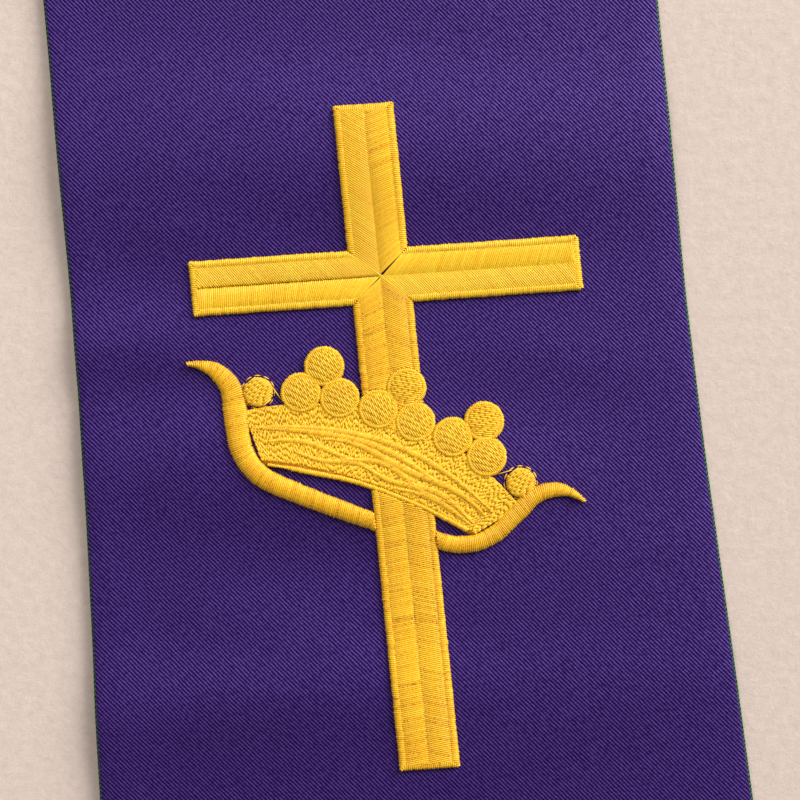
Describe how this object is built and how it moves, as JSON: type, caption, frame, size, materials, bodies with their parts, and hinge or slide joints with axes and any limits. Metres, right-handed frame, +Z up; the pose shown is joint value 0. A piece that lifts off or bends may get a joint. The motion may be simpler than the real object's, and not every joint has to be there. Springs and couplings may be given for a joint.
{
  "type": "clerical stole",
  "caption": "Long reversible cloth band worn round the neck by clergy, laid flat, with a cross and crown embroidered near each end.",
  "frame": {"origin": "middle of the stole's outline, on the surface it lies on", "axes": "+X to the right when it is seen from above with the neck at the top, +Y from the hems to the neck, +Z up out of the surface"},
  "size_m": [0.6154, 1.3472, 0.0053],
  "materials": {
    "purple_twill": "fine twill weave with a slight lustre",
    "green_twill": "fine twill weave, plain",
    "gold_thread": "bright machine embroidery thread in close rows"
  },
  "bodies": {
    "root": {"back_front_left": "green_twill", "back_neck_left": "green_twill", "back_front_right": "green_twill", "back_neck_right": "green_twill", "face_front_left": "purple_twill", "face_neck_left": "purple_twill", "face_front_right": "purple_twill", "face_neck_right": "purple_twill", "cross_upper_left": "gold_thread", "cross_upper_right": "gold_thread", "cross_lower_left": "gold_thread", "cross_lower_right": "gold_thread", "crown_band_left": "gold_thread", "crown_band_right": "gold_thread", "crown_rim_inner_left": "gold_thread", "crown_rim_inner_right": "gold_thread", "crown_rim_outer_left": "gold_thread", "crown_rim_outer_right": "gold_thread", "pearl_01_left": "gold_thread", "pearl_01_right": "gold_thread", "pearl_02_left": "gold_thread", "pearl_02_right": "gold_thread", "pearl_03_left": "gold_thread", "pearl_03_right": "gold_thread", "pearl_04_left": "gold_thread", "pearl_04_right": "gold_thread", "pearl_05_left": "gold_thread", "pearl_05_right": "gold_thread", "pearl_06_left": "gold_thread", "pearl_06_right": "gold_thread", "pearl_07_left": "gold_thread", "pearl_07_right": "gold_thread", "pearl_08_left": "gold_thread", "pearl_08_right": "gold_thread", "pearl_09_left": "gold_thread", "pearl_09_right": "gold_thread", "pearl_10_left": "gold_thread", "pearl_10_right": "gold_thread", "pearl_11_left": "gold_thread", "pearl_11_right": "gold_thread"}
  },
  "joints": []
}
